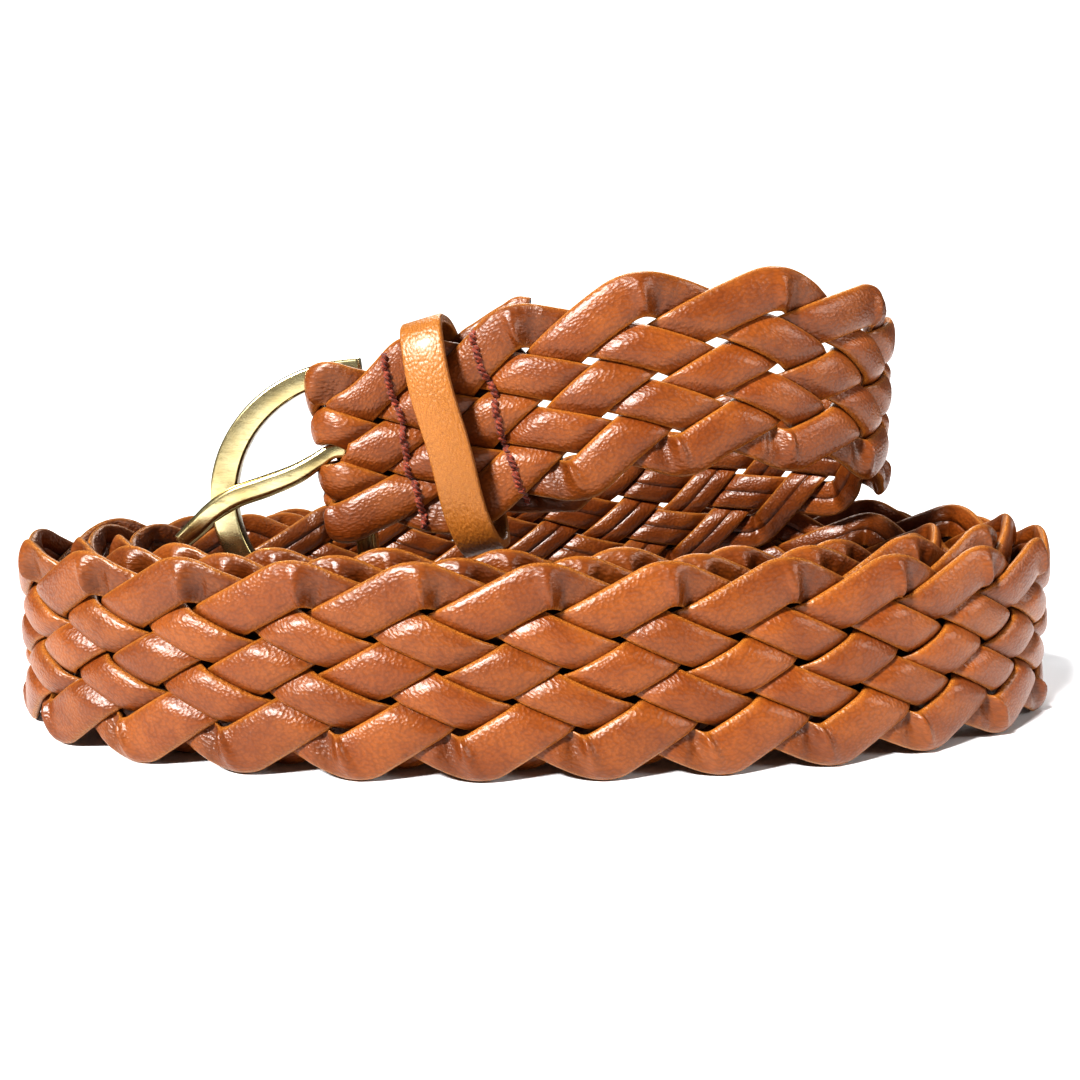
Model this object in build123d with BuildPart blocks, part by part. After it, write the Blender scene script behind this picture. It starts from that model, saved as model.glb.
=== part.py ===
from build123d import *
from math import atan2, ceil, cos, floor, pi, radians, sin, sqrt
import os

# A leather belt plaited from six flat strands, coiled on its edge with the buckle end lifted.
# Millimetres.  +X runs along the coil, +Y to its far side, +Z up; the origin is on the table
# under the middle of the outer turn.

# ---- strap -------------------------------------------------------------------------------
strap_width = 30.0        # edge to edge of the plait
strand_count = 6
strand_width = 6.0        # one flat strand
strand_thickness = 1.3
strand_rise = 0.9         # how far a strand stands off the middle plane where two cross
plait_pitch = 16.6        # distance between two bends on one edge
corner_round = 0.7        # what rounding takes off a bend at the edge
bend_flat = 0.3           # share of a bend that lies flat along the edge
fold_squeeze = 0.72       # width at the buckle fold, as a share of the strap width
squeeze_length = 16.0     # over which the strap widens again
closing_length = 7.0      # over which the flap comes up against the strap
fold_margin = 1.2         # straight stretch beyond the fold where strands stay upright
flap_length = 36.0        # from the fold to the cut ends behind the strap
layer_step = 3.9          # middle of the strap to middle of the flap, once sewn together

# ---- coil --------------------------------------------------------------------------------
# Where the strap turns: (side, x, y, height of its middle, slope)
squareness = 2.1          # 2 is an ellipse, more is squarer
worn_flat = 0.05          # pressed off the lowest bends by the strap's own weight
rest_height = strap_width / 2 - worn_flat
buckle_start = (-30.3, -19.0, strap_width + 13.5, 0.1)
turns = [
    ("front", 12.0, -26.0, strap_width + 24.0, 0.18),
    ("right", 59.0, 4.0, strap_width + 20.5, -0.24),
    ("back", 18.0, 24.5, strap_width + 1.0, -0.30),
    ("left", -70.0, 0.0, rest_height, 0.0),
    ("front", 0.0, -31.2, rest_height + 0.6, 0.0),
    ("right", 66.0, 0.0, rest_height + 0.5, 0.0),
    ("back", 0.0, 31.0, rest_height, 0.0),
    ("left", -76.0, 0.0, rest_height, 0.0),
    ("front", 0.0, -36.0, rest_height, 0.0),
    ("right", 78.0, 0.0, rest_height + 2.5, 0.0),
    ("back", 0.0, 35.8, rest_height, 0.0),
    ("left", -84.25, 0.0, rest_height, 0.0),
    ("front", 0.0, -40.6, rest_height, 0.0),
    ("right", 84.25, 0.0, rest_height, 0.0),
    ("back", 0.0, 40.6, rest_height, 0.0),
]
steps_per_turn = 48       # points that each quarter turn is measured with

# ---- buckle ------------------------------------------------------------------------------
bar_radius = 1.75
bar_to_leather = 0.9
frame_inner_half = 18.7   # half the clear height between the arms
frame_reach = 23.0        # bar axis to the outside of the nose
frame_face = 4.0          # width of the frame at the nose
arm_face = 2.4            # width of the arms beside the bar
frame_thickness = 2.8
arm_gap = 0.7             # clear space between the strap's edge and the upper arm
boss_length = 2.6         # arms past the bar axis
prong_width = 2.6
prong_thickness = 2.2
prong_overhang = 5.5      # past the outside of the nose
prong_open = 4.0          # degrees that it stands off the frame as the belt lies
prong_droop = 0.5         # fall of the prong past its crank, per length
prong_crank = 0.6         # how far outside the fold the prong turns towards the nose
eye_wall = 1.0
notch_depth = 0.5
notch_side = 0.3
bar_seat = 1.6            # how far the bar goes into each arm
prong_gap = 0.08          # running clearance round the bar
prong_rest_gap = 0.1
slot_half = 2.2           # half the height of the slit that the prong comes through

# ---- keeper and thread -------------------------------------------------------------------
row_one_at = 15.2         # distance of the first stitch row from the fold
row_two_at = 30.0
keeper_width = 6.3
keeper_thickness = 1.4
keeper_room = 3.7         # clear space in front of the strap, for the tip
keeper_side_gap = 1.5
keeper_back_gap = 0.8
keeper_hang = 0.9         # its own weight pulls the keeper down this far
keeper_corner = 1.8
staple_wire = 0.5
staple_length = 5.0
stitch_length = 1.8
stitch_margin = 1.6
stitch_spacing = 2.5
stitch_thickness = 0.6
stitch_lift = 0.3         # thread above the leather
flap_stitch_lift = 1.2    # and above the facets of the flap
tip_rows = (4.0, 9.0)     # stitch rows, back from the tip

# ---- worked out --------------------------------------------------------------------------
plait_thickness = 2 * strand_rise + strand_thickness
fold_radius = bar_radius + bar_to_leather + plait_thickness / 2
fold_half = pi * fold_radius / 2
bend_height = (strap_width - strand_width) / 2
corner_height = bend_height + corner_round
plait_slope = corner_height / (1.5 * plait_pitch)
plait_angle = atan2(corner_height, 1.5 * plait_pitch)
section_half = strand_width / 2 / sin(2 * plait_angle)
flat_half = section_half * cos(plait_angle)
keeper_at = (row_one_at + row_two_at) / 2
frame_drop = frame_inner_half - arm_gap - strap_width / 2 * fold_squeeze   # strap high on the bar
frame_outer_half = frame_inner_half + arm_face
bar_half = frame_inner_half + bar_seat
eye_radius = bar_radius + prong_gap + eye_wall
prong_low = frame_thickness / 2 - notch_depth + prong_rest_gap
crank_at = fold_radius + plait_thickness / 2 + prong_crank

os.makedirs("parts", exist_ok=True)


def quarter(a, b, share):
    """Plan point on the quarter turn from station a to station b; share runs 0 to 1."""
    angle = share * pi / 2
    rising = sin(angle) ** (2 / squareness)
    falling = cos(angle) ** (2 / squareness) if share < 1 else 0.0
    if a[0] in ("front", "back"):
        return a[1] + (b[1] - a[1]) * rising, b[2] + (a[2] - b[2]) * falling
    return b[1] + (a[1] - b[1]) * falling, a[2] + (b[2] - a[2]) * rising


def lead_in(share):
    """Plan point between the buckle and the first station."""
    x, y = buckle_start[0], buckle_start[1]
    ease = share * share * (3 - 2 * share)
    return x + (turns[0][1] - x) * share, y + (turns[0][2] - y) * ease


def measured_line():
    """Points along the middle of the strap, with the distance of each from the buckle."""
    heights = [buckle_start[2:]] + [t[3:] for t in turns]
    spans = [lead_in] + [lambda u, a=a, b=b: quarter(a, b, u) for a, b in zip(turns, turns[1:])]
    line = []
    run = 0.0
    for i, span in enumerate(spans):
        plan = [span(j / steps_per_turn) for j in range(steps_per_turn + 1)]
        marks = [0.0]
        for p, q in zip(plan, plan[1:]):
            marks.append(marks[-1] + sqrt((q[0] - p[0]) ** 2 + (q[1] - p[1]) ** 2))
        length = marks[-1]
        (z0, m0), (z1, m1) = heights[i], heights[i + 1]
        for (x, y), mark in zip(plan, marks):
            u = mark / length
            z = (2 * u**3 - 3 * u**2 + 1) * z0 + (u**3 - 2 * u**2 + u) * length * m0
            z += (3 * u**2 - 2 * u**3) * z1 + (u**3 - u**2) * length * m1
            point = Vector(x, y, z)
            if line:
                step = (point - line[-1][1]).length
                if step < 1e-6:
                    continue
                run += step
            line.append((run, point))
    return line


line = measured_line()
strap_length = line[-1][0]


def point_at(run):
    """Middle of the strap at a distance from the buckle."""
    run = min(max(run, 0.0), strap_length)
    low, high = 0, len(line) - 1
    while high - low > 1:
        mid = (low + high) // 2
        low, high = (mid, high) if line[mid][0] <= run else (low, mid)
    share = (run - line[low][0]) / (line[high][0] - line[low][0])
    return line[low][1] + (line[high][1] - line[low][1]) * share


def base_frame(run):
    """Point, direction along, direction out of the outer face, direction across (up)."""
    reach = 1.5
    along = (point_at(run + reach) - point_at(run - reach)).normalized()
    out = Vector(along.Y, -along.X, 0).normalized()
    return point_at(run), along, out, out.cross(along).normalized()


start_point, start_along, start_out, start_up = base_frame(0)
bar_point = start_point - start_out * fold_radius


def strap_frame(s):
    """The same four for the whole strap: s is 0 at the fold, negative on the flap."""
    if s >= fold_half:
        return base_frame(s - fold_half)
    if s > -fold_half:
        angle = s / fold_radius
        out = start_out * sin(angle) - start_along * cos(angle)
        along = start_along * sin(angle) + start_out * cos(angle)
        return bar_point + out * fold_radius, along, out, start_up
    run = -s - fold_half
    point, along, out, up = base_frame(run)
    closing = min(run / closing_length, 1.0)
    closing = closing * closing * (3 - 2 * closing)
    step = 2 * fold_radius + (layer_step - 2 * fold_radius) * closing
    return point - out * step, -along, -out, up


def width_share(s):
    """How much of its full width the strap has at s."""
    away = min(max(abs(s) - fold_half, 0.0) / squeeze_length, 1.0)
    return fold_squeeze + (1 - fold_squeeze) * away * away * (3 - 2 * away)


def place(s, v, n):
    """Point at s along, v up across and n out of the strap's middle plane."""
    point, _, out, up = strap_frame(s)
    return point + up * (v * width_share(s)) + out * n


def strand_section(s, v, n, end_s, end_v, clip=False):
    """Flat rectangle across a strand: its upper end is (end_s, end_v) from its middle."""
    low_v, high_v = v - end_v, v + end_v
    if clip and v >= 0:
        low_v = max(low_v, slot_half / width_share(s))
    elif clip:
        high_v = min(high_v, -slot_half / width_share(s))
    low = place(s - end_s, low_v, n)
    high = place(s + end_s, high_v, n)
    _, along, out, _ = strap_frame(s)
    across = (high - low).normalized()
    facing = out - across * out.dot(across)
    middle = (low + high) * 0.5
    plane = Plane(origin=middle, x_dir=across, z_dir=across.cross(facing.normalized()))
    with BuildSketch(plane) as section:
        Rectangle((high - low).length, strand_thickness)
    return section.sketch


def strand_stations(k):
    """Where strand k has a section: (s, height across, height out, end_s, end_v, clip)."""
    half_pitch = plait_pitch / 2
    fold_zone = fold_half + fold_margin
    fan = (pi / 2 - plait_angle) / 2
    bend_reach = 0.55 * (half_pitch - flat_half)
    last = strap_length + fold_half
    stations = []
    first = 2 * floor((-flap_length / plait_pitch - k) / 6)
    for bend in range(first, ceil(last / plait_pitch / 3) + 1):
        bend_s = (k + 3 * bend) * plait_pitch
        rising = bend % 2 == 0
        side = -1 if rising else 1
        for share in (-1, -bend_flat, bend_flat, 1):
            upright = abs(share) < 1
            s = bend_s + share * bend_reach
            height = bend_height if upright else corner_height - plait_slope * bend_reach
            lean = 0.0 if upright else side * share * sin(fan) * strand_width / 2
            tall = (1.0 if upright else cos(fan)) * strand_width / 2
            stations.append((s, side * height, -side * share * strand_rise / 2, lean, tall, False))
        lean = -flat_half if rising else flat_half
        tall = section_half * sin(plait_angle)
        for crossing in range(1, 6):
            over = (crossing % 2 == 1) == rising
            out = strand_rise if over else -strand_rise
            for offset in (-flat_half, flat_half):
                run = crossing * half_pitch + offset
                height = side * (corner_height - plait_slope * run)
                stations.append((bend_s + run, height, out, lean, tall, False))
    kept = [q for q in stations if -flap_length <= q[0] <= last - abs(q[3]) and abs(q[0]) > fold_zone]
    kept += fold_stations(k, fold_zone)
    return sorted(kept, key=lambda q: q[0])


def fold_stations(k, fold_zone):
    """Sections round the bar, upright so that they lie against it; rising strands go outside."""
    tall = strand_width / 2 / cos(plait_angle)
    kept = []
    for share in (-1.0, -0.85, -0.6, -0.3, 0.0, 0.3, 0.6, 0.85, 1.0):
        s = share * fold_zone
        phase = (s / plait_pitch - k) % 6
        rising = phase < 3
        down = phase if rising else phase - 3
        height = -corner_height + plait_slope * down * plait_pitch
        if min(down, 3 - down) * plait_pitch < 0.01:
            kept.append((s, (-1 if rising else 1) * bend_height, 0.0, 0.0, strand_width / 2, False))
            continue
        v = height if rising else -height
        kept.append((s, v, strand_rise if rising else -strand_rise, 0.0, tall, True))
    return kept


def make_strand(k):
    """One flat strand, from its cut end behind the fold to the tip."""
    with BuildPart() as strand:
        for station in strand_stations(k):
            add(strand_section(*station))
        loft(ruled=True, clean=False)
        split(bisect_by=Plane.XY, keep=Keep.TOP)
    return strand.part


def prong_droop_at(run):
    """How far below the slit the prong is at a distance from the bar."""
    return -prong_droop * max(run - crank_at, 0.0)


def make_frame():
    """Horseshoe frame, lying in the plane of the strap, with blind holes for the bar."""
    with BuildPart() as frame:
        with BuildSketch(buckle_plane.offset(-frame_thickness / 2)):
            with BuildLine():
                EllipticalCenterArc((0, -frame_drop), frame_reach, frame_outer_half, 90, arc_size=180)
                Polyline(
                    (0, -frame_drop - frame_outer_half),
                    (boss_length, -frame_drop - frame_outer_half),
                    (boss_length, -frame_drop + frame_outer_half),
                    (0, -frame_drop + frame_outer_half),
                )
            make_face()
            with BuildLine():
                EllipticalCenterArc(
                    (0, -frame_drop), frame_reach - frame_face, frame_inner_half, 90, arc_size=180
                )
                Polyline(
                    (0, -frame_drop - frame_inner_half),
                    (boss_length + 1, -frame_drop - frame_inner_half),
                    (boss_length + 1, -frame_drop + frame_inner_half),
                    (0, -frame_drop + frame_inner_half),
                )
            make_face(mode=Mode.SUBTRACT)
        extrude(amount=frame_thickness)
        with BuildSketch(bar_plane):
            Circle(bar_radius)
        extrude(amount=bar_half, both=True, mode=Mode.SUBTRACT)
        with BuildSketch(buckle_plane.offset(frame_thickness / 2)):
            with Locations((-frame_reach + frame_face / 2, prong_droop_at(frame_reach - frame_face / 2))):
                Rectangle(2 * frame_face, prong_width + 2 * notch_side)
        extrude(amount=-notch_depth, mode=Mode.SUBTRACT)
    return frame.part


def make_bar():
    """Round bar that the strap is folded over."""
    with BuildPart() as bar:
        with BuildSketch(bar_plane):
            Circle(bar_radius)
        extrude(amount=bar_half, both=True)
    return bar.part


def make_prong():
    """Flat prong with a closed eye round the bar; it rests in the frame's notch."""
    tip_x = -frame_reach - prong_overhang
    with BuildPart() as prong:
        with BuildSketch(Plane(prong_plane.origin, x_dir=prong_plane.x_dir, z_dir=-prong_plane.y_dir)):
            Circle(eye_radius)
            with BuildLine():
                Polyline(
                    (0, eye_radius),
                    (tip_x, prong_low + prong_thickness),
                    (tip_x, prong_low),
                    (-frame_reach + frame_face + 1, prong_low),
                    (-bar_radius, -eye_radius / 2),
                    (0, 0),
                    close=True,
                )
            make_face()
            Circle(bar_radius + prong_gap, mode=Mode.SUBTRACT)
        extrude(amount=prong_width * 2, both=True)
        half = prong_width / 2
        with BuildSketch(prong_plane.offset(-eye_radius - 1)):
            with BuildLine():
                Polyline(
                    (eye_radius + 1, half),
                    (-crank_at, half),
                    (tip_x + half / 2, prong_droop_at(-tip_x) + half),
                    (tip_x, prong_droop_at(-tip_x) + half / 2),
                    (tip_x, prong_droop_at(-tip_x) - half / 2),
                    (tip_x + half / 2, prong_droop_at(-tip_x) - half),
                    (-crank_at, -half),
                    (eye_radius + 1, -half),
                    close=True,
                )
            make_face()
        extrude(amount=3 * eye_radius, mode=Mode.INTERSECT)
    return prong.part


def make_keeper():
    """Leather loop round both layers, with room in front for the tip."""
    inside_half = strap_width / 2 * width_share(keeper_at) + keeper_side_gap
    back = -layer_step - plait_thickness / 2 - keeper_back_gap
    front = plait_thickness / 2 + keeper_room
    with BuildPart() as keeper:
        with BuildSketch(keeper_plane):
            with Locations((-keeper_hang, (front + back) / 2)):
                RectangleRounded(
                    2 * (inside_half + keeper_thickness),
                    front - back + 2 * keeper_thickness,
                    keeper_corner + keeper_thickness,
                )
                RectangleRounded(2 * inside_half, front - back, keeper_corner, mode=Mode.SUBTRACT)
        extrude(amount=keeper_width / 2, both=True)
    return keeper.part


def make_keeper_staple():
    """Wire staple that closes the keeper, flat on its back."""
    outside = -layer_step - plait_thickness / 2 - keeper_back_gap - keeper_thickness
    with BuildPart() as staple:
        with BuildSketch(keeper_plane):
            with Locations((0, outside - staple_wire / 2)):
                Rectangle(staple_length, staple_wire)
        extrude(amount=staple_wire / 2, both=True)
    return staple.part


def make_stitches(s, sides):
    """A row of single stitches across the strap; sides lists the s of each face sewn."""
    count = int((strap_width * width_share(s) - 2 * stitch_margin) / stitch_spacing) + 1
    with BuildPart() as row:
        for face_s, way in sides:
            point, along, normal, up = strap_frame(face_s)
            lift = stitch_lift if face_s > 0 else flap_stitch_lift
            out = plait_thickness / 2 + lift + stitch_thickness / 2
            for i in range(count):
                height = (i - (count - 1) / 2) * stitch_spacing
                spot = point + up * height + normal * way * out
                with BuildSketch(Plane(spot, x_dir=up, z_dir=along)):
                    RectangleRounded(stitch_length, stitch_thickness, stitch_thickness / 3)
                extrude(amount=stitch_thickness / 2, both=True)
    return row.part


def save(part, name):
    """Name a finished piece and write it."""
    part.label = name
    export_step(part, f"parts/{name}.step")


buckle_plane = Plane(origin=bar_point, x_dir=start_along, z_dir=start_out)
bar_plane = Plane(origin=bar_point - start_up * frame_drop, x_dir=start_along, z_dir=start_up)
keeper_point, keeper_along, keeper_out, keeper_up = strap_frame(keeper_at)
keeper_plane = Plane(origin=keeper_point, x_dir=keeper_up, z_dir=keeper_along)
prong_plane = Plane(
    origin=bar_point,
    x_dir=start_along * cos(radians(prong_open)) - start_out * sin(radians(prong_open)),
    z_dir=start_out * cos(radians(prong_open)) + start_along * sin(radians(prong_open)),
)

for k in range(strand_count):
    save(make_strand(k), f"strand_{k + 1}")
save(make_frame(), "buckle_frame")
save(make_bar(), "buckle_bar")
save(make_prong(), "prong")
save(make_keeper(), "keeper")
save(make_keeper_staple(), "keeper_staple")
save(make_stitches(row_one_at, [(row_one_at, 1), (-row_one_at, 1)]), "stitch_row_1")
save(make_stitches(row_two_at, [(row_two_at, 1), (-row_two_at, 1)]), "stitch_row_2")
tip_at = strap_length + fold_half
save(make_stitches(tip_at, [(tip_at - back, way) for back in tip_rows for way in (1, -1)]), "tip_stitching")
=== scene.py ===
import bpy
import numpy as np
from math import cos, pi, radians, sin, tau
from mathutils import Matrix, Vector


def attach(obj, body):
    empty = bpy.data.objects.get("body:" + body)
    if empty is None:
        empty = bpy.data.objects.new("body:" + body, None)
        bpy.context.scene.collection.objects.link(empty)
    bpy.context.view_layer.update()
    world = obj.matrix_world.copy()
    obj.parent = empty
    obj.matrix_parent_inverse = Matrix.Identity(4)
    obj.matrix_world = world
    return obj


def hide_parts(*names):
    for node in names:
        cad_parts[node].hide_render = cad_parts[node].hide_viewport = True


# Plaited leather belt, coiled on its edge. Lengths are in millimetres until newMesh.
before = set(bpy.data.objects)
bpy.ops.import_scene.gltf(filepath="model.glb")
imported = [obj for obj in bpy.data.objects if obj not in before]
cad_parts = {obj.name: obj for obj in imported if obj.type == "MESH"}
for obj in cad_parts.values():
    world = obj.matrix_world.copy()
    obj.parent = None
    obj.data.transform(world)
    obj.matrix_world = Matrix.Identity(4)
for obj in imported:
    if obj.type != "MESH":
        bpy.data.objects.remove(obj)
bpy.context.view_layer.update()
mm = 0.001

strap = {
    "width": 30.0,
    "pitch": 16.6,          # bend to bend along one edge
    "loopPitch": 19.0,      # where the raised loop has stretched the plait
    "loopFrom": 40.0,
    "loopTo": 112.0,
    "strandWidth": 6.35,
    "strandThick": 1.75,
    "rise": 0.92,           # strand middle above the strap's middle at a crossing
    "bendRound": 2.6,
    "foldSqueeze": 0.72,
    "frontSqueeze": 0.92,   # the front layer bulges over the frame's arm
    "spreadFront": 9.0,
    "spreadBack": 16.0,
    "closingLength": 7.0,
    "foldRadius": 4.2,
    "layerStep": 3.9,
    "flapLength": 34.0,
    "slotHalf": 1.6,
    "slotReach": 6.4,
    "phase": -0.19,
    # how softly strands pass over each other and turn, in pitches
    "crossSoft": 0.15,
    "turnAt": 0.42,
    "turnSoft": 0.26,
    "turnShare": 0.16,
}

# the plait has settled out of square: height across the strap, shift along it
lean = [(-15, 6.2), (-8.5, 3.9), (-4.2, 1.9), (0, 0.6), (4.2, 0.0), (8.5, -0.5), (15, -2.2)]

coil = {
    "squareness": 2.1,
    "start": (-30.3, -19.0, 43.5, 0.1),
    # side, x, y, height of the strap's middle, slope
    "turns": [
        ("front", 12.0, -26.0, 54.0, 0.18),
        ("right", 57.6, 4.0, 49.3, -0.28),
        ("back", 18.0, 24.5, 28.5, -0.30),
        ("left", -70.0, 0.0, 15.0, 0.0),
        ("front", 0.0, -31.2, 15.6, 0.0),
        ("right", 66.0, 0.0, 15.5, 0.0),
        ("back", 0.0, 31.0, 15.0, 0.0),
        ("left", -76.0, 0.0, 15.0, 0.0),
        ("front", 0.0, -36.0, 15.0, 0.0),
        ("right", 78.0, 0.0, 17.5, 0.0),
        ("back", 0.0, 35.8, 15.0, 0.0),
        ("left", -84.25, 0.0, 15.0, 0.0),
        ("front", 0.0, -40.6, 15.0, 0.0),
        ("right", 84.25, 0.0, 15.0, 0.0),
        ("back", 0.0, 40.6, 15.0, 0.0),
    ],
    "steps": 90,
}


def quarterTurn(a, b, share):
    angle = share * pi / 2
    rising = np.sin(angle) ** (2 / coil["squareness"])
    falling = np.clip(np.cos(angle), 0, 1) ** (2 / coil["squareness"])
    if a[0] in ("front", "back"):
        return a[1] + (b[1] - a[1]) * rising, b[2] + (a[2] - b[2]) * falling
    return b[1] + (a[1] - b[1]) * falling, a[2] + (b[2] - a[2]) * rising


def smooth(x):
    x = np.clip(x, 0.0, 1.0)
    return x * x * (3 - 2 * x)


def coilLine():
    # middle line of the strap, buckle to tip
    start, turns = coil["start"], coil["turns"]
    heights = [start[2:]] + [t[3:] for t in turns]
    pieces = []
    share = np.linspace(0, 1, coil["steps"] + 1)
    for i in range(len(turns)):
        if i == 0:
            x = start[0] + (turns[0][1] - start[0]) * share
            y = start[1] + (turns[0][2] - start[1]) * smooth(share)
        else:
            x, y = quarterTurn(turns[i - 1], turns[i], share)
        marks = np.concatenate([[0], np.cumsum(np.hypot(np.diff(x), np.diff(y)))])
        length = marks[-1]
        u = marks / length
        (z0, m0), (z1, m1) = heights[i], heights[i + 1]
        z = (2 * u**3 - 3 * u**2 + 1) * z0 + (u**3 - 2 * u**2 + u) * length * m0
        z += (3 * u**2 - 2 * u**3) * z1 + (u**3 - u**2) * length * m1
        points = np.stack([x, y, z], axis=1)
        pieces.append(points if i == 0 else points[1:])
    return np.concatenate(pieces)


linePoints = coilLine()
lineRun = np.concatenate([[0], np.cumsum(np.linalg.norm(np.diff(linePoints, axis=0), axis=1))])
strapLength = lineRun[-1]
foldHalf = pi * strap["foldRadius"] / 2
tipAt = strapLength + foldHalf


def unit(a):
    return a / np.linalg.norm(a, axis=-1, keepdims=True)


def pointAt(run):
    run = np.clip(run, 0, strapLength)
    return np.stack([np.interp(run, lineRun, linePoints[:, i]) for i in range(3)], axis=-1)


def baseFrame(run):
    reach = 1.5
    along = unit(pointAt(run + reach) - pointAt(run - reach))
    out = unit(np.stack([along[..., 1], -along[..., 0], 0 * along[..., 0]], axis=-1))
    return pointAt(run), along, out, np.cross(out, along)


startPoint, startAlong, startOut, startUp = [a[0] for a in baseFrame(np.array([0.0]))]
barPoint = startPoint - startOut * strap["foldRadius"]


def strapFrame(s):
    # s is 0 at the fold round the bar and negative on the flap behind
    s = np.asarray(s, float)
    run = np.clip(np.abs(s) - foldHalf, 0, None)
    point, along, out, up = baseFrame(run)
    back = s < 0
    step = 2 * strap["foldRadius"]
    step = step + (strap["layerStep"] - step) * smooth(run / strap["closingLength"])
    point = np.where(back[..., None], point - out * step[..., None], point)
    along = np.where(back[..., None], -along, along)
    out = np.where(back[..., None], -out, out)
    turning = np.abs(s) < foldHalf
    angle = np.clip(s / strap["foldRadius"], -pi / 2, pi / 2)[..., None]
    foldOut = startOut * np.sin(angle) - startAlong * np.cos(angle)
    foldAlong = startAlong * np.sin(angle) + startOut * np.cos(angle)
    foldPoint = barPoint + foldOut * strap["foldRadius"]
    pick = turning[..., None]
    return (np.where(pick, foldPoint, point), np.where(pick, foldAlong, along),
            np.where(pick, foldOut, out), np.where(pick, startUp, up))


def widthShare(s):
    away = (np.abs(s) - foldHalf) / np.where(s > 0, strap["spreadFront"], strap["spreadBack"])
    turned = smooth((s + foldHalf) / (2 * foldHalf))
    narrow = strap["foldSqueeze"] + (strap["frontSqueeze"] - strap["foldSqueeze"]) * turned
    return narrow + (1 - narrow) * smooth(away)


def onStrap(s, v, n):
    point, _, out, up = strapFrame(s)
    return point + up * (v * widthShare(s))[..., None] + out * n[..., None]


# the plait, laid flat: phase counts bends along one edge
phaseS = np.arange(-60.0, tipAt + 2.0, 0.5)
stretch = smooth((phaseS - strap["loopFrom"]) / 25) * smooth((strap["loopTo"] - phaseS) / 40)
localPitch = strap["pitch"] + (strap["loopPitch"] - strap["pitch"]) * stretch
phaseP = np.cumsum(0.5 / localPitch)
phaseP -= np.interp(0.0, phaseS, phaseP)
bendHeight = (strap["width"] - strap["strandWidth"]) / 2
cornerHeight = bendHeight + 0.5 * strap["bendRound"] * bendHeight / (1.5 * strap["pitch"]) * 1.04
crossStep = 2 * cornerHeight / 3      # height gained in one pitch


def phaseAt(s):
    return np.interp(s, phaseS, phaseP) + strap["phase"]


leanCurve = np.polyfit([h for h, _ in lean], [shift for _, shift in lean], 3)


def leaned(s, v):
    # less lean in the raised loop, none at the buckle and at the tip
    share = 0.5 * smooth((s - 12) / 15) + 0.5 * smooth((s - 150) / 100)
    return s + share * smooth((tipAt - 2 - s) / 15) * np.polyval(leanCurve, np.clip(v, -15, 15))


def strandLine(k, s):
    # height of strand k across the strap, its rising flag and the phase since its last bend
    ph = phaseAt(s) - k
    bend = np.floor(ph / 3)
    rising = np.mod(bend, 2) == 0
    since = ph - 3 * bend
    near = np.minimum(since, 3 - since)
    reach = strap["bendRound"] / strap["pitch"]
    drop = np.where(near < reach, (near**2 + reach**2) / (2 * reach), near)
    height = cornerHeight - crossStep * drop
    side = np.where(since < 1.5, np.where(rising, -1, 1), np.where(rising, 1, -1))
    return side * height, rising, since


def lift(k, s, v):
    # how far strand k stands out of the strap's middle plane at (s, v), as -1 to 1
    ph = phaseAt(s) - k
    bend = np.floor(ph / 3)
    rising = np.mod(bend, 2) == 0
    since = ph - 3 * bend
    up = np.where(rising, v, -v)
    crossing = (up + cornerHeight) / crossStep + since
    over = np.ones_like(crossing)
    for flip in (1.5, 2.5, 3.5, 4.5):
        over = over * np.tanh((crossing - flip) / strap["crossSoft"])
    early = np.tanh((crossing - strap["turnAt"]) / strap["turnSoft"])
    late = np.tanh((crossing - 6 + strap["turnAt"]) / strap["turnSoft"])
    under = over * early * late
    # a bend stays on the outside until it has turned
    edge = smooth(np.minimum(since, 3 - since) / strap["turnShare"])
    under = 1 - edge + under * edge
    return np.where(rising, over, under)


def newMesh(name, points, faces, smoothFaces=True):
    mesh = bpy.data.meshes.new(name)
    mesh.from_pydata((np.asarray(points) * mm).tolist(), [], faces)
    mesh.validate()
    mesh.polygons.foreach_set("use_smooth", [smoothFaces] * len(mesh.polygons))
    piece = bpy.data.objects.new(name, mesh)
    bpy.context.scene.collection.objects.link(piece)
    return piece


def putValues(piece, name, values, kind="FLOAT"):
    layer = piece.data.attributes.new(name, kind, "POINT")
    key = "value" if kind == "FLOAT" else "vector"
    layer.data.foreach_set(key, np.asarray(values, np.float32).ravel())


def tubeFaces(rings, around, capStart=True, capEnd=True):
    faces = []
    for i in range(rings - 1):
        a, b = i * around, (i + 1) * around
        for j in range(around):
            j2 = (j + 1) % around
            faces.append((a + j, a + j2, b + j2, b + j))
    if capStart:
        faces.append(tuple(range(around - 1, -1, -1)))
    if capEnd:
        faces.append(tuple((rings - 1) * around + j for j in range(around)))
    return faces


leatherLook = {
    # deep: pores and seams, and the painted shade under crossings and in the hollows behind bends
    "deep": (0.030, 0.0065, 0.0015),
    "main": (0.195, 0.050, 0.0058),
    "warm": (0.262, 0.076, 0.0105),
    # pale edge colour: wear and a painted highlight on the folded edges
    "edge": (0.600, 0.270, 0.055),
    "rough": 0.37,
    "grain": 2.5,          # grains per millimetre
    "pebbleSoft": 0.55,
}

keeperLook = {
    "main": (0.205, 0.058, 0.0075),
    "warm": (0.270, 0.083, 0.0125),
}


def newMaterial(name):
    mat = bpy.data.materials.new(name)
    mat.use_nodes = True
    tree = mat.node_tree
    shader = tree.nodes["Principled BSDF"]
    return mat, tree, shader


def addNode(tree, kind, **settings):
    node = tree.nodes.new(kind)
    for key, value in settings.items():
        if key in node.inputs:
            node.inputs[key].default_value = value
        else:
            setattr(node, key, value)
    return node


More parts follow.
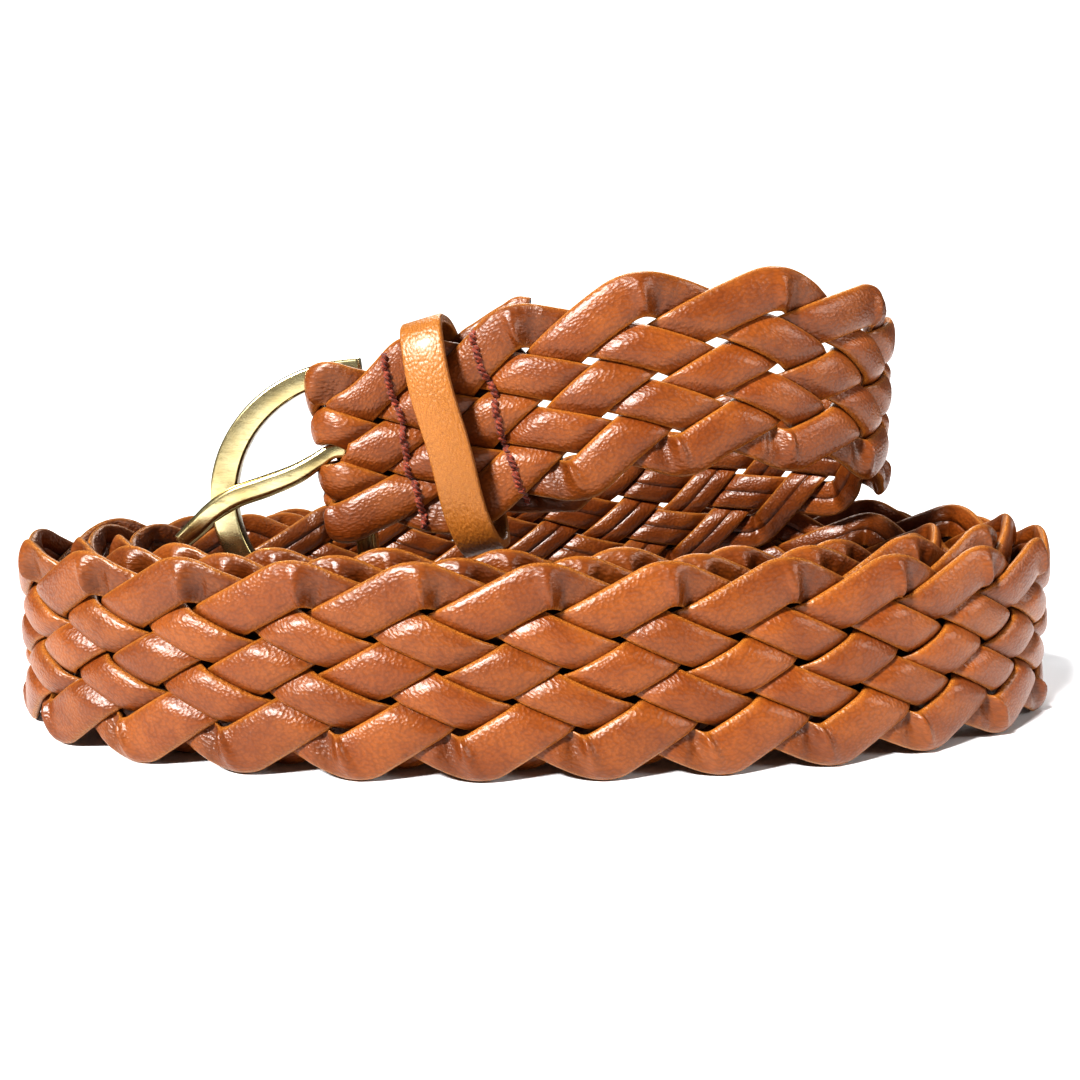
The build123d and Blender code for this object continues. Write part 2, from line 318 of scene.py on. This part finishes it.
def mixColour(tree, amount, a, b):
    node = tree.nodes.new("ShaderNodeMix")
    node.data_type = "RGBA"
    for socket, value in ((node.inputs[0], amount), (node.inputs[6], a), (node.inputs[7], b)):
        if isinstance(value, bpy.types.NodeSocket):
            tree.links.new(value, socket)
        elif isinstance(value, (int, float)):
            socket.default_value = value
        else:
            socket.default_value = (*value, 1)
    return node.outputs[2]


def ramp(tree, value, low, high, outLow=0.0, outHigh=1.0):
    node = addNode(tree, "ShaderNodeMapRange")
    node.interpolation_type = "SMOOTHSTEP"
    tree.links.new(value, node.inputs[0])
    for i, number in enumerate((low, high, outLow, outHigh)):
        node.inputs[i + 1].default_value = number
    return node.outputs[0]


def nodeMath(tree, kind, a, b=0.0):
    node = addNode(tree, "ShaderNodeMath", operation=kind)
    for socket, value in ((node.inputs[0], a), (node.inputs[1], b)):
        if isinstance(value, bpy.types.NodeSocket):
            tree.links.new(value, socket)
        else:
            socket.default_value = value
    return node.outputs[0]


def readValue(tree, name, vector=False):
    node = addNode(tree, "ShaderNodeAttribute", attribute_name=name)
    return node.outputs["Vector"] if vector else node.outputs["Fac"]


def leather(name, look, edgeShare=1.0):
    mat, tree, shader = newMaterial(name)
    place = readValue(tree, "place", vector=True)      # along, across, out, in millimetres
    edge = readValue(tree, "edge")                     # 1 at a folded edge
    creaseAndShade = readValue(tree, "creaseAndShade")                 # 1 where the strip bends: deeper wrinkles and painted shade in the hollow
    toneAndShade = readValue(tree, "toneAndShade")                     # varies from strip to strip, with painted shade where a strip dips under another and a darker back face
    stretched = addNode(tree, "ShaderNodeMapping")
    stretched.inputs["Scale"].default_value = (0.72, 1.0, 1.0)
    tree.links.new(place, stretched.inputs["Vector"])
    pebbles = addNode(tree, "ShaderNodeTexVoronoi", feature="SMOOTH_F1")
    pebbles.inputs["Scale"].default_value = look["grain"]
    pebbles.inputs["Smoothness"].default_value = look["pebbleSoft"]
    tree.links.new(stretched.outputs[0], pebbles.inputs["Vector"])
    fine = addNode(tree, "ShaderNodeTexNoise", Scale=9.0, Detail=3.0, Roughness=0.6)
    tree.links.new(place, fine.inputs["Vector"])
    broad = addNode(tree, "ShaderNodeTexNoise", Scale=0.16, Detail=3.0, Roughness=0.55)
    tree.links.new(place, broad.inputs["Vector"])
    pull = addNode(tree, "ShaderNodeTexNoise", Scale=1.0, Detail=4.0, Roughness=0.6)
    pulled = addNode(tree, "ShaderNodeMapping")
    pulled.inputs["Scale"].default_value = (1.6, 0.5, 1.0)
    tree.links.new(place, pulled.inputs["Vector"])
    tree.links.new(pulled.outputs[0], pull.inputs["Vector"])

    body = mixColour(tree, ramp(tree, broad.outputs["Fac"], 0.35, 0.68), look["main"], look["warm"])
    # painted shade: strips darken where they dip under their neighbours, on top of strip-to-strip tone
    body = mixColour(tree, nodeMath(tree, "MULTIPLY", toneAndShade, 0.45), body, look["deep"])
    pore = ramp(tree, pebbles.outputs["Distance"], 0.35, 0.70, 0.0, 0.22)
    body = mixColour(tree, pore, body, look["deep"])
    # painted shade in the hollow behind each bend
    paintedCreaseShade = nodeMath(tree, "MULTIPLY", creaseAndShade, 0.35)
    body = mixColour(tree, paintedCreaseShade, body, look["deep"])
    # lighter folded edges: wear, plus a painted highlight along each edge
    wearAndEdgeHighlight = nodeMath(tree, "MULTIPLY", ramp(tree, fine.outputs["Fac"], 0.38, 0.66), edge)
    wearAndEdgeHighlight = nodeMath(tree, "MULTIPLY", wearAndEdgeHighlight, 0.85 * edgeShare)
    body = mixColour(tree, wearAndEdgeHighlight, body, look["edge"])
    tree.links.new(body, shader.inputs["Base Color"])

    rough = nodeMath(tree, "MULTIPLY", pull.outputs["Fac"], 0.16)
    rough = nodeMath(tree, "ADD", rough, look["rough"] - 0.08)
    tree.links.new(rough, shader.inputs["Roughness"])
    shader.inputs["Coat Weight"].default_value = 0.12
    shader.inputs["Coat Roughness"].default_value = 0.22

    height = nodeMath(tree, "MULTIPLY", pebbles.outputs["Distance"], -0.85)
    depth = nodeMath(tree, "ADD", nodeMath(tree, "MULTIPLY", creaseAndShade, 0.9), 0.16)
    height = nodeMath(tree, "ADD", height, nodeMath(tree, "MULTIPLY", pull.outputs["Fac"], depth))
    height = nodeMath(tree, "ADD", height, nodeMath(tree, "MULTIPLY", fine.outputs["Fac"], 0.22))
    bump = addNode(tree, "ShaderNodeBump", Strength=0.85, Distance=0.00013)
    tree.links.new(height, bump.inputs["Height"])
    tree.links.new(bump.outputs[0], shader.inputs["Normal"])
    return mat


def rawLeather(name):
    # cut end of a strip: pale fibres
    mat, tree, shader = newMaterial(name)
    spot = addNode(tree, "ShaderNodeTexCoord")
    fibres = addNode(tree, "ShaderNodeTexNoise", Scale=2600.0, Detail=4.0, Roughness=0.7)
    tree.links.new(spot.outputs["Object"], fibres.inputs["Vector"])
    share = ramp(tree, fibres.outputs["Fac"], 0.38, 0.62)
    colour = mixColour(tree, share, (0.10, 0.09, 0.10), (0.46, 0.45, 0.47))
    tree.links.new(colour, shader.inputs["Base Color"])
    shader.inputs["Roughness"].default_value = 0.9
    bump = addNode(tree, "ShaderNodeBump", Strength=0.9, Distance=0.0003)
    tree.links.new(fibres.outputs["Fac"], bump.inputs["Height"])
    tree.links.new(bump.outputs[0], shader.inputs["Normal"])
    return mat


def threadMaterial(name):
    mat, tree, shader = newMaterial(name)
    spot = addNode(tree, "ShaderNodeTexCoord")
    fuzz = addNode(tree, "ShaderNodeTexNoise", Scale=1800.0, Detail=4.0, Roughness=0.65)
    tree.links.new(spot.outputs["Object"], fuzz.inputs["Vector"])
    share = ramp(tree, fuzz.outputs["Fac"], 0.35, 0.65)
    colour = mixColour(tree, share, (0.075, 0.010, 0.003), (0.27, 0.042, 0.009))
    tree.links.new(colour, shader.inputs["Base Color"])
    shader.inputs["Roughness"].default_value = 0.62
    shader.inputs["Sheen Weight"].default_value = 0.25
    bump = addNode(tree, "ShaderNodeBump", Strength=0.6, Distance=0.0001)
    tree.links.new(fuzz.outputs["Fac"], bump.inputs["Height"])
    tree.links.new(bump.outputs[0], shader.inputs["Normal"])
    return mat


def brassMaterial(name):
    # antique brass: bright rubbed flats, greenish brown in the hollows
    mat, tree, shader = newMaterial(name)
    spot = addNode(tree, "ShaderNodeTexCoord")
    edge = readValue(tree, "edge")
    cloud = addNode(tree, "ShaderNodeTexNoise", Scale=160.0, Detail=5.0, Roughness=0.62)
    tree.links.new(spot.outputs["Object"], cloud.inputs["Vector"])
    scratch = addNode(tree, "ShaderNodeTexNoise", Scale=900.0, Detail=6.0, Roughness=0.75)
    drawn = addNode(tree, "ShaderNodeMapping")
    drawn.inputs["Scale"].default_value = (0.25, 1.0, 1.0)
    tree.links.new(spot.outputs["Object"], drawn.inputs["Vector"])
    tree.links.new(drawn.outputs[0], scratch.inputs["Vector"])
    share = ramp(tree, cloud.outputs["Fac"], 0.30, 0.70)
    bright = mixColour(tree, share, (0.80, 0.70, 0.42), (0.62, 0.50, 0.25))
    stain = nodeMath(tree, "MULTIPLY", ramp(tree, scratch.outputs["Fac"], 0.50, 0.72), 0.5)
    stain = nodeMath(tree, "ADD", stain, nodeMath(tree, "MULTIPLY", edge, 0.75))
    colour = mixColour(tree, stain, bright, (0.075, 0.062, 0.028))
    tree.links.new(colour, shader.inputs["Base Color"])
    shader.inputs["Metallic"].default_value = 1.0
    rough = nodeMath(tree, "ADD", nodeMath(tree, "MULTIPLY", scratch.outputs["Fac"], 0.22), 0.14)
    tree.links.new(rough, shader.inputs["Roughness"])
    bump = addNode(tree, "ShaderNodeBump", Strength=0.18, Distance=0.0001)
    tree.links.new(scratch.outputs["Fac"], bump.inputs["Height"])
    tree.links.new(bump.outputs[0], shader.inputs["Normal"])
    return mat


strandLeather = leather("strand leather", leatherLook)
keeperLeather = leather("keeper leather", {**leatherLook, **keeperLook}, 0.9)
cutLeather = rawLeather("cut leather")
rustThread = threadMaterial("rust thread")
oldBrass = brassMaterial("old brass")
print("materials ready")

strand = {
    "step": 0.5,
    "across": 13,           # points on each face
    "crown": 0.30,
    "seamDepth": 0.34,
    "seamHalf": 0.045,
    "ridge": 1.25,          # pucker where a strand turns at the edge
    "hollow": 1.15,         # and the hollow behind it
    "looseEnd": 4.5,        # how far the outer cut ends stray
    "slotLip": 0.8,         # how softly strands are pushed out of the prong's slot
    "edgeWearAndHighlight": 0.10,       # worn, lighter share of the half width at each folded edge, partly a painted highlight
}


def slotWindow(s):
    return strap["slotHalf"] * smooth((strap["slotReach"] - np.abs(s)) / 2.2)


def strandProfile():
    # share across, side (1 outer, -1 back) round one strand
    angles = np.linspace(0, pi, strand["across"])
    front = -np.cos(angles)
    back = np.sort(np.concatenate([front[1:-1], [-0.05, 0.05]]))[::-1]
    return np.concatenate([front, back]), np.concatenate([np.ones(len(front)), -np.ones(len(back))])


def faceHeight(share, side):
    body = np.clip(1 - np.abs(share) ** 3.0, 0, 1) ** (1 / 2.1) * strap["strandThick"] / 2
    crown = strand["crown"] * (1 - share**2)
    seam = strand["seamDepth"] * np.exp(-(share / strand["seamHalf"]) ** 2)
    return np.where(side > 0, body + crown, -body + seam)


def wobble(x, seed, size):
    slow = np.sin(x * 0.043 + seed * 1.7)
    quick = 0.6 * np.sin(x * 0.117 + seed * 2.9) + 0.4 * np.sin(x * 0.31 + seed)
    return size * (slow + quick)


def bendShape(q, inner, seed):
    # q runs past the bend in millimetres, inner is 1 at the inside of the turn
    ridge = strand["ridge"] * (0.2 + 0.8 * inner) * np.exp(-((q - 0.1) / 0.8) ** 2)
    hollow = strand["hollow"] * (0.35 + 0.65 * inner) * np.exp(-((q - 2.2) / 1.1) ** 2)
    creases = 0.10 * np.sin(q * 4.2 + seed + 2 * inner) * np.exp(-((q - 3.0) / 2.0) ** 2)
    return ridge - hollow + creases


def makeStrand(k):
    endV = strandLine(k, np.array([-strap["flapLength"]]))[0][0]
    stray = strand["looseEnd"] * smooth((abs(endV) - 4) / 8)
    first = -strap["flapLength"] - 1.5 - (0.4 if endV > 0 else 1.2) * stray
    s = np.arange(first, tipAt - 0.3, strand["step"])
    v, rising, since = strandLine(k, s)
    slope = np.gradient(v, s)
    norm = np.sqrt(1 + slope**2)
    half = strap["strandWidth"] / 2 * (1 + wobble(s, k + 3, 0.012)) / widthShare(s) ** 0.9
    v = v + wobble(s, k, 0.10) + np.sign(endV) * stray * smooth((-s - strap["flapLength"] + 5) / 7)
    share, side = strandProfile()
    rings, around = len(s), len(share)
    across = share[None, :] * half[:, None]
    ss = s[:, None] - across * (slope / norm)[:, None]
    vv = v[:, None] + across * (1 / norm)[:, None]
    # make room for the prong at the fold
    slot = slotWindow(ss)
    above = (v > 0)[:, None]
    gap = np.where(above, vv - slot, -vv - slot)
    lip = strand["slotLip"]
    eased = np.where(gap > lip, gap, lip * np.exp(np.clip((gap - lip) / lip, -6, 0)))
    near = slot > 0.02
    vv = np.where(near, np.where(above, slot + eased, -slot - eased), vv)
    raised = lift(k, ss, vv)
    past = np.where(since < 1.5, since, since - 3) * strap["pitch"]
    top = np.sign(v)
    q = np.repeat((past * top)[:, None], around, axis=1)
    inner = (1 - share[None, :] * top[:, None]) / 2
    n = raised * strap["rise"] + faceHeight(share, side)[None, :]
    held = (1 - np.abs(share) ** 4) * np.where(side > 0, 1.0, 0.75)     # the folded edges pucker least
    n = n + bendShape(q, inner, k) * held[None, :]
    n = n + wobble(ss * 1.3, k + 9, 0.05)
    points = onStrap(leaned(ss, vv).ravel(), vv.ravel(), n.ravel())
    piece = newMesh(f"plait_strand_{k + 1}", points, tubeFaces(rings, around))
    run = np.concatenate([[0], np.cumsum(np.hypot(np.diff(s), np.diff(v)))])
    place = np.stack([np.repeat(run + k * 311.0, around), across.ravel(),
                      np.tile(side * 3.0, rings)], axis=1)
    putValues(piece, "place", place, "FLOAT_VECTOR")
    # folded edges: mask for the lighter worn edge and its painted highlight
    edge = np.exp(-((1 - np.abs(share)) / strand["edgeWearAndHighlight"]) ** 2)
    putValues(piece, "edge", np.tile(edge, rings))
    # hollow behind each bend: deepens the wrinkle bump and paints shade there
    creaseAndShade = np.exp(-((q - 2.6) / 2.0) ** 2)
    putValues(piece, "creaseAndShade", creaseAndShade.ravel())
    # painted shade where the strip runs under its neighbours
    paintedUnderShade = smooth((0.25 - raised) / 1.2)
    toneAndShade = 0.35 * paintedUnderShade + 0.3 * (0.5 + 0.5 * np.sin(ss * 0.11 + k * 2.1))
    seamLine = (side < 0) * (0.25 + 2.0 * np.exp(-(share / 0.04) ** 2))     # the whole back face a little darker, and dark where the cut edges butt
    toneAndShade = toneAndShade + seamLine[None, :]
    putValues(piece, "toneAndShade", np.clip(toneAndShade, 0, 2).ravel())
    piece.data.materials.append(strandLeather)
    piece.data.materials.append(cutLeather)
    for index in (-1, -2):
        face = piece.data.polygons[len(piece.data.polygons) + index]
        face.material_index = 1
        face.use_smooth = False
    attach(piece, "strap")
    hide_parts(f"strand_{k + 1}")


for k in range(6):
    makeStrand(k)
print("strands plaited")

buckle = {
    "reach": 23.0,
    "innerHalf": 17.9,
    "outerHalf": 21.1,
    "face": 4.0,
    "thick": 2.8,
    "drop": 7.2,
    "boss": 2.6,
    "barRadius": 1.75,
    "barHalf": 20.0,
}


def buckleSpace(points, tilt=0.0):
    # local x along the strap, y up the bar, z out, turned about the bar by tilt
    points = np.asarray(points, float)
    x, y, z = points[..., 0], points[..., 1], points[..., 2]
    c, t = cos(tilt), sin(tilt)
    xx = x * c + z * t
    zz = -x * t + z * c
    return barPoint + xx[..., None] * startAlong + y[..., None] * startUp + zz[..., None] * startOut


def roundedSection(width, thick, corner, per=5):
    # closed outline, width on x and thickness on z
    outline = []
    for cx, cz, a0 in ((1, 1, 0), (-1, 1, 90), (-1, -1, 180), (1, -1, 270)):
        for i in range(per):
            a = radians(a0 + 90 * i / (per - 1))
            across = cx * (width / 2 - corner) + corner * cos(a)
            outline.append((across, cz * (thick / 2 - corner) + corner * sin(a)))
    return np.array(outline)


def makeFrame():
    ro, ri = buckle["reach"], buckle["reach"] - buckle["face"]
    ho, hi = buckle["outerHalf"], buckle["innerHalf"]
    straight = np.linspace(buckle["boss"], 0, 6)
    turn = np.linspace(0, pi, 90)[1:-1]

    def rim(reach, half):
        # one edge of the D, from boss to boss
        bend = [(-reach * sin(a), half * cos(a)) for a in turn]
        return np.array([(x, half) for x in straight] + bend + [(x, -half) for x in straight[::-1]])

    inner, outer = rim(ri, hi), rim(ro, ho)
    rings = []
    edges = []
    for p, q in zip(inner, outer):
        w = np.linalg.norm(q - p)
        section = roundedSection(w, buckle["thick"], 0.5)
        d = (q - p) / w
        middle = (p + q) / 2
        ring = [(middle[0] + d[0] * a, middle[1] + d[1] * a - buckle["drop"], b) for a, b in section]
        rings.append(ring)
        edges.append([1.0 if a < -w / 2 + 0.3 else 0.0 for a, b in section])
    rings = np.array(rings)
    around = rings.shape[1]
    piece = newMesh("horseshoe_frame", buckleSpace(rings.reshape(-1, 3)), tubeFaces(len(rings), around))
    putValues(piece, "edge", np.array(edges).ravel())
    piece.data.materials.append(oldBrass)
    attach(piece, "buckle")
    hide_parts("buckle_frame")


def makeBar():
    rings = []
    for i in range(25):
        y = -buckle["barHalf"] + 2 * buckle["barHalf"] * i / 24 - buckle["drop"]
        r = buckle["barRadius"] * (1 - 0.06 * (abs(i - 12) > 11))
        rings.append([(r * cos(tau * j / 28), y, r * sin(tau * j / 28)) for j in range(28)])
    rings = np.array(rings)
    piece = newMesh("strap_bar", buckleSpace(rings.reshape(-1, 3)), tubeFaces(25, 28))
    putValues(piece, "edge", np.full(25 * 28, 0.25))
    piece.data.materials.append(oldBrass)
    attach(piece, "buckle")
    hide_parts("buckle_bar")


prongSizes = {
    "open": 4.0,            # degrees off the frame
    "gap": 0.08,
    "wall": 1.0,
    "eyeWidth": 2.3,
    # out from the bar, height across, height out, width, thickness
    "body": [
        (-0.8, 0.3, 2.5, 2.3, 1.3),
        (-3.0, 0.3, 2.8, 2.3, 1.5),
        (-5.6, -1.0, 3.0, 2.6, 1.9),
        (-9.0, -2.5, 3.0, 3.1, 2.2),
        (-13.8, -3.8, 2.8, 3.4, 2.3),
        (-18.6, -4.9, 2.6, 3.4, 2.3),
        (-22.4, -6.7, 2.4, 3.2, 2.2),
        (-25.4, -8.8, 1.9, 3.1, 2.1),
        (-28.6, -10.9, 1.1, 2.8, 2.0),
    ],
}


def smoothList(stations, count):
    # Catmull-Rom through the stations
    pts = np.array(stations, float)
    pts = np.vstack([2 * pts[0] - pts[1], pts, 2 * pts[-1] - pts[-2]])
    rows = []
    for u in np.linspace(0, len(stations) - 1 - 1e-9, count):
        i, t = int(u), u - int(u)
        a, b, c, d = pts[i:i + 4]
        square = (2 * a - 5 * b + 4 * c - d) * t**2
        cube = (3 * b - a - 3 * c + d) * t**3
        rows.append(0.5 * (2 * b + (c - a) * t + square + cube))
    return np.array(rows)


def makeProng():
    sizes = prongSizes
    middle = buckle["barRadius"] + sizes["gap"] + sizes["wall"] / 2
    eye = [(middle * cos(a), 0.0, middle * sin(a), sizes["eyeWidth"], sizes["wall"])
           for a in np.radians(np.linspace(-165, 75, 30))]
    line = np.vstack([eye, smoothList(sizes["body"], 60)])
    end = line[-1].copy()
    end[:3] += 0.35 * unit(line[-1, :3] - line[-2, :3])
    end[3:] *= 0.72
    line = np.vstack([line, end])
    ahead = unit(np.gradient(line[:, :3], axis=0))
    sideways = unit(np.stack([-ahead[:, 1], ahead[:, 0], 0 * ahead[:, 0]], axis=1)
                    * np.where(np.arange(len(line)) < len(eye), 0, 1)[:, None]
                    + np.array([0, 1e-6, 0]))
    sideways = unit(sideways - ahead * (sideways * ahead).sum(1)[:, None])
    facing = np.cross(ahead, sideways)
    rings = []
    for row, u, w in zip(line, sideways, facing):
        section = roundedSection(row[3], row[4], min(row[3], row[4]) * 0.40)
        rings.append([row[:3] + u * a + w * b for a, b in section])
    rings = np.array(rings)
    around = rings.shape[1]
    points = buckleSpace(rings.reshape(-1, 3), radians(-sizes["open"]))
    piece = newMesh("tongue", points, tubeFaces(len(rings), around))
    putValues(piece, "edge", np.full(len(rings) * around, 0.12))
    piece.data.materials.append(oldBrass)
    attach(piece, "prong")
    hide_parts("prong")


makeFrame()
makeBar()
makeProng()
print("buckle made")

keeper = {
    "rowOne": 15.2,
    "rowTwo": 30.0,
    "width": 6.3,
    "thick": 1.4,
    "sideGap": 1.5,
    "backGap": 0.8,
    "room": 3.7,
    "hang": 0.9,
    "plaitThick": 3.1,
    "sideRound": 3.2,       # squareness of the band's outline
    "faceRound": 3.0,
    "corner": 0.42,
    "cutEdge": 0.45,        # paler strip along each cut edge
    "sway": 0.15,
    "steps": 120,
}


def makeKeeper():
    at = (keeper["rowOne"] + keeper["rowTwo"]) / 2
    point, along, out, up = [a[0] for a in strapFrame(np.array([at]))]
    strapHalf = strap["width"] / 2 * float(widthShare(np.array(at)))
    sideHalf = strapHalf + keeper["sideGap"] + keeper["thick"] / 2
    front = keeper["plaitThick"] / 2 + keeper["room"] + keeper["thick"] / 2
    back = -strap["layerStep"] - keeper["plaitThick"] / 2 - keeper["backGap"] - keeper["thick"] / 2
    mid, depth = (front + back) / 2, (front - back) / 2
    steps = keeper["steps"]
    turn = tau * np.arange(steps) / steps
    high = np.sign(np.cos(turn)) * np.abs(np.cos(turn)) ** (2 / keeper["sideRound"])
    outer = np.sign(np.sin(turn)) * np.abs(np.sin(turn)) ** (2 / keeper["faceRound"])
    rings = np.stack([sideHalf * high - keeper["hang"], mid + depth * outer], axis=1)
    ahead = np.roll(rings, -1, axis=0) - np.roll(rings, 1, axis=0)
    ahead = unit(ahead)
    outward = np.stack([ahead[:, 1], -ahead[:, 0]], axis=1)
    section = roundedSection(keeper["width"], keeper["thick"], keeper["corner"], 4)
    points, place, edges = [], [], []
    marks = np.concatenate([[0], np.cumsum(np.linalg.norm(np.diff(rings, axis=0), axis=1))])
    for i in range(steps):
        for a, b in section:
            q = rings[i] + outward[i] * b
            sway = keeper["sway"] * sin(marks[i] * 0.35)
            points.append(point + up * q[0] + out * q[1] + along * (a + sway))
            place.append((marks[i] + 900, a, 3.0 if b > 0 else -3.0))
            edges.append(1.0 if abs(a) > keeper["width"] / 2 - keeper["cutEdge"] else 0.0)
    around = len(section)
    faces = tubeFaces(steps, around, False, False)
    for j in range(around):
        j2 = (j + 1) % around
        faces.append(((steps - 1) * around + j, (steps - 1) * around + j2, j2, j))
    piece = newMesh("keeper_band", points, faces)
    putValues(piece, "place", place, "FLOAT_VECTOR")
    putValues(piece, "edge", edges)
    putValues(piece, "creaseAndShade", np.full(len(points), 0.15))
    putValues(piece, "toneAndShade", np.full(len(points), 0.1))
    piece.data.materials.append(keeperLeather)
    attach(piece, "keeper")
    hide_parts("keeper")


makeKeeper()
print("keeper made")

thread = {
    "spacing": 2.5,
    "margin": 1.4,
    "ply": 0.34,            # radius of one of the two twisted plies
    "twist": 0.26,
    "sink": 0.75,
    "tipRows": (4.0, 9.0),
    "steps": 14,
    "sides": 7,
}


def surfaceAt(s, v):
    # height of the leather's outer face at (s, v)
    s, v = np.asarray(s, float), np.asarray(v, float)
    flat = 2 * s - leaned(s, v)
    best = np.full(s.shape, -1.2)
    for k in range(6):
        middle = strandLine(k, flat)[0]
        slope = (strandLine(k, flat + 0.1)[0] - middle) / 0.1
        share = (v - middle) / np.sqrt(1 + slope**2) / (strap["strandWidth"] / 2)
        height = lift(k, flat, v) * strap["rise"] + faceHeight(share, np.ones(s.shape))
        best = np.where(np.abs(share) < 1, np.maximum(best, height), best)
    return best


def makeRow(name, node, faces):
    points, faceList = [], []
    backFace = strap["rise"] + strap["strandThick"] / 2
    for s0, way in faces:
        share = float(widthShare(np.array(s0)))
        half = strap["width"] / 2 * share - thread["margin"]
        count = int(2 * half / thread["spacing"])
        for i in range(count):
            t = np.linspace(0, 1, thread["steps"])
            v = (-half + (i + t) * 2 * half / count) / share
            s = s0 + 0.35 * np.sin(v * 0.5) + 0.12 * (-1) ** i
            crest = surfaceAt(s, v) if way > 0 else np.full(len(v), backFace)
            crest = np.convolve(np.pad(crest, 3, "edge"), np.ones(7) / 7, "valid")
            n = way * (crest + thread["ply"] - thread["sink"] * np.abs(2 * t - 1) ** 5)
            _, along, out, up = strapFrame(s)
            line = onStrap(s, v, n)
            for ply in (0, pi):
                turn = tau * 1.6 * t + ply + i
                aside = along * np.cos(turn)[:, None] + out * np.sin(turn)[:, None]
                centre = line + thread["twist"] * aside
                base = len(points)
                for a in range(thread["steps"]):
                    for b in range(thread["sides"]):
                        angle = tau * b / thread["sides"]
                        spoke = along[a] * cos(angle) + out[a] * sin(angle)
                        points.append(centre[a] + thread["ply"] * spoke)
                for face in tubeFaces(thread["steps"], thread["sides"]):
                    faceList.append(tuple(base + c for c in face))
    piece = newMesh(name, points, faceList)
    piece.data.materials.append(rustThread)
    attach(piece, "strap")
    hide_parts(node)


makeRow("thread_row_1", "stitch_row_1", [(keeper["rowOne"], 1), (-keeper["rowOne"], 1)])
makeRow("thread_row_2", "stitch_row_2", [(keeper["rowTwo"], 1), (-keeper["rowTwo"], 1)])
tipFaces = [(tipAt - back, way) for back in thread["tipRows"] for way in (1, -1)]
makeRow("tip_thread", "tip_stitching", tipFaces)
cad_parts["keeper_staple"].data.materials.clear()
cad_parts["keeper_staple"].data.materials.append(oldBrass)
print("thread sewn")

studio = {
    "floor": (0.93, 0.93, 0.94),
    "world": 0.13,
    "camera": (-10.4, -171.1, 50.0),
    "yaw": 0.056,
    "pitch": 0.131,
    "lens": 36.0 * 1000 / 1080,
    # name, where it shines from, strength, softness in degrees
    "lamps": [
        ("key", (-0.60, -0.62, 0.72), 5.4, 9),
        ("fill", (0.85, -0.42, 0.45), 0.9, 20),
        ("rim", (0.1, 0.8, 0.9), 1.4, 40),
    ],
}


def makeStudio():
    bpy.ops.mesh.primitive_plane_add(size=12, location=(0, 1.2, -0.0002))
    floor = bpy.context.object
    floor.name = "floor"
    mat, tree, shader = newMaterial("floor paper")
    shader.inputs["Base Color"].default_value = (*studio["floor"], 1)
    shader.inputs["Roughness"].default_value = 0.6
    floor.data.materials.append(mat)
    world = bpy.data.worlds.new("studio")
    bpy.context.scene.world = world
    world.use_nodes = True
    sky = world.node_tree.nodes["Background"]
    sky.inputs[0].default_value = (1, 1, 1, 1)
    sky.inputs[1].default_value = studio["world"]
    # what the camera sees past the floor is plain white
    rays = world.node_tree.nodes.new("ShaderNodeLightPath")
    strength = ramp(world.node_tree, rays.outputs["Is Camera Ray"], 0, 1, studio["world"], 1.1)
    world.node_tree.links.new(strength, sky.inputs[1])
    for name, spot, power, softness in studio["lamps"]:
        lamp = bpy.data.lights.new(name, "SUN")
        lamp.angle = radians(softness)
        lamp.energy = power
        holder = bpy.data.objects.new(name, lamp)
        holder.location = spot
        holder.rotation_euler = Vector([-c for c in spot]).to_track_quat("-Z", "Y").to_euler()
        bpy.context.scene.collection.objects.link(holder)
    lens = bpy.data.cameras.new("camera")
    lens.lens = studio["lens"]
    lens.sensor_width = 36.0
    lens.clip_start = 0.01
    camera = bpy.data.objects.new("camera", lens)
    camera.location = [c * mm for c in studio["camera"]]
    camera.rotation_euler = (pi / 2 - studio["pitch"], 0, -studio["yaw"])
    bpy.context.scene.collection.objects.link(camera)
    bpy.context.scene.camera = camera
    bpy.context.scene.view_settings.view_transform = "Standard"
    bpy.context.scene.view_settings.look = "High Contrast"


makeStudio()
print("studio ready")
